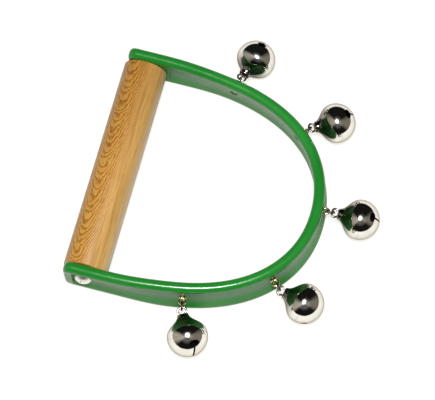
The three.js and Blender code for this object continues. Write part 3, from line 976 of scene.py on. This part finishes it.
for number, (place, roll) in enumerate(zip(EYE_PLACES, SLIT_ROLLS), 1):
    piece(shade(placed(eye_body(), eye_matrix(place))), f"eye_{number}", "frame", brass)

    swing = joints[f"link_{number}_swing"]
    hang = joints[f"bell_{number}_swing"]
    rattle = joints[f"pellet_{number}_rattle"]
    link_pivot = Vector(swing["pos_m"])
    bell_pivot = Vector(hang["pos_m"])
    upright = Vector(hang["axis"])
    link_frame = axes_matrix(link_pivot, bell_pivot - link_pivot, upright)
    piece(placed(link_body(), link_frame), f"link_{number}", f"link_{number}_body", steel)

    pellet_place = Vector(rattle["pos_m"])
    bell_middle = pellet_place + upright * rattle["range_m"][1] / 2
    bell_frame = axes_matrix(bell_middle, bell_middle - bell_pivot, upright)
    body = f"bell_{number}_body"
    crown = placed(mark_shell(shade(crown_body())), bell_frame)
    piece(crown, f"bell_{number}_crown", body, plate)
    base = placed(mark_shell(shade(base_body(roll))), bell_frame)
    piece(base, f"bell_{number}_base", body, plate)
    piece(placed(shank_body(), bell_frame), f"bell_{number}_shank", body, steel)
    pellet = placed(pellet_body(number), Matrix.Translation(pellet_place))
    piece(pellet, f"bell_{number}_pellet", f"pellet_{number}_body", iron)


# Camera

def view_axes():
    """The camera's directions ahead, to the right and up."""
    azimuth = math.radians(CAMERA_AZIMUTH)
    elevation = math.radians(CAMERA_ELEVATION)
    level = math.cos(elevation)
    ahead = Vector((math.sin(azimuth) * level, math.cos(azimuth) * level, -math.sin(elevation)))
    rightward = Vector((math.cos(azimuth), -math.sin(azimuth), 0))
    return ahead, rightward, rightward.cross(ahead)


ahead, rightward, upward = view_axes()
target = grip_middle + Vector(CAMERA_TARGET) * MM
camera_data = bpy.data.cameras.new("camera")
camera_data.sensor_fit = "HORIZONTAL"
camera_data.sensor_width = SENSOR_WIDTH
camera_data.lens = CAMERA_LENS
camera_data.clip_start = CLIP_START * MM
camera = scene_object("camera", camera_data)
camera_turn = Matrix((rightward, upward, -ahead)).transposed().to_4x4()
camera.matrix_world = Matrix.Translation(target - ahead * CAMERA_DISTANCE * MM) @ camera_turn
bpy.context.scene.camera = camera


# Floor

FLOOR_SIZE = 3000
FLOOR_GAP = 0.1
FLOOR_BOUNCE = (0.36, 0.35, 0.31)
FLOOR_GLOW = (0.76, 0.745, 0.70)
FLOOR_SHADOW = (0.34, 0.34, 0.34)

# Mirrors see the floor darken where the object, within this reach, leaves it only this share of open sky.
HIDDEN_REACH = 30
HIDDEN_SHARE = (0.08, 0.55)


def floor_material():
    """A warm sheet to scattered light. The camera and mirrors see it white, with its shadows kept,
    and mirrors see it go dark where the object stands close over it."""
    shader = new_shader("floor")
    path = shader.add("LightPath").outputs
    mirrored = shader.math("MAXIMUM", path["Is Glossy Ray"], path["Is Transmission Ray"])
    seen = shader.math("MAXIMUM", path["Is Camera Ray"], mirrored)
    open_sky = shader.add("AmbientOcclusion", {"Distance": HIDDEN_REACH * MM}).outputs["AO"]
    covered = shader.remap(open_sky, (1, 0), HIDDEN_SHARE, "SMOOTHSTEP")
    strength = shader.math("SUBTRACT", 1, shader.math("MULTIPLY", mirrored, covered))
    glow = shader.add("Emission", {"Color": opaque(FLOOR_GLOW), "Strength": strength})
    shadowed = shader.add("BsdfDiffuse", {"Color": opaque(FLOOR_SHADOW)})
    bounce = shader.add("BsdfDiffuse", {"Color": opaque(FLOOR_BOUNCE)})
    white = shader.add("AddShader", {0: shadowed.outputs[0], 1: glow.outputs[0]})
    choice = shader.add("MixShader", {0: seen, 1: bounce.outputs[0], 2: white.outputs[0]})
    shader.set(shader.tree.nodes["Material Output"], "Surface", choice.outputs[0])
    shader.tree.nodes.remove(shader.main)
    return shader.owner


half_floor = FLOOR_SIZE / 2
floor_corners = [(x * half_floor, y * half_floor, 0) for x, y in ((-1, -1), (1, -1), (1, 1), (-1, 1))]
floor = mesh_object("floor", floor_corners, [(0, 1, 2, 3)])
floor.location.z = cad_box[0][2] - FLOOR_GAP * MM
floor.data.materials.append(floor_material())


# Lamps: a round key and a wide, faint fill behind it, high up on the camera's side. Power is in watts.

LAMP_ELEVATION = 80
KEY = {"distance": 1000, "size": 220, "power": 9.5}
FILL = {"distance": 1050, "size": 560, "power": 1.0}


def disc_lamp(name, distance, size, power):
    azimuth = math.radians(CAMERA_AZIMUTH)
    elevation = math.radians(LAMP_ELEVATION)
    level = math.cos(elevation)
    direction = Vector((-math.sin(azimuth) * level, -math.cos(azimuth) * level, math.sin(elevation)))
    data = bpy.data.lights.new(name, "AREA")
    data.shape = "DISK"
    data.size = size * MM
    data.energy = power
    lamp = scene_object(name, data)
    lamp.location = target + direction * distance * MM
    lamp.rotation_euler = direction.to_track_quat("Z", "Y").to_euler()


disc_lamp("key", **KEY)
disc_lamp("fill", **FILL)


# The room that the bells mirror: dark, with a soft grey wall to the left, a dimmer one to the right and a
# faint halo overhead on the camera's side. Spreads are slopes and cosines of the direction looked in.

ROOM_DARK = (0.010, 0.009, 0.008)
WALL_GREY = (0.46, 0.42, 0.35)
WALL_SPREAD = (0.15, 0.85)
LEFT_TO_RIGHT = (-0.5, 0.5)
RIGHT_WALL_SHARE = 0.45
HALO_WHITE = (1, 1, 1)
HALO_SHARE = 0.12
HALO_SPREAD = (0.75, 0.97)


def studio_world():
    world = bpy.data.worlds.new("studio")
    bpy.context.scene.world = world
    shader = Shader(world, "Background")
    direction = shader.add("TexCoord").outputs["Generated"]
    aside = shader.dot(direction, rightward)
    rise = shader.math("ABSOLUTE", shader.dot(direction, upward))
    slope = shader.math("DIVIDE", rise, shader.math("ABSOLUTE", aside))
    wall = shader.remap(slope, (1, 0), WALL_SPREAD, "SMOOTHSTEP")
    share = shader.remap(aside, (1, RIGHT_WALL_SHARE), LEFT_TO_RIGHT)
    halo = shader.remap(shader.dot(direction, -ahead), (0, HALO_SHARE), HALO_SPREAD, "SMOOTHSTEP")
    room = shader.mix(shader.math("MULTIPLY", wall, share), ROOM_DARK, WALL_GREY)
    shader.surface(Color=shader.mix(halo, room, HALO_WHITE), Strength=1.0)


studio_world()
bpy.context.scene.view_settings.view_transform = "Standard"
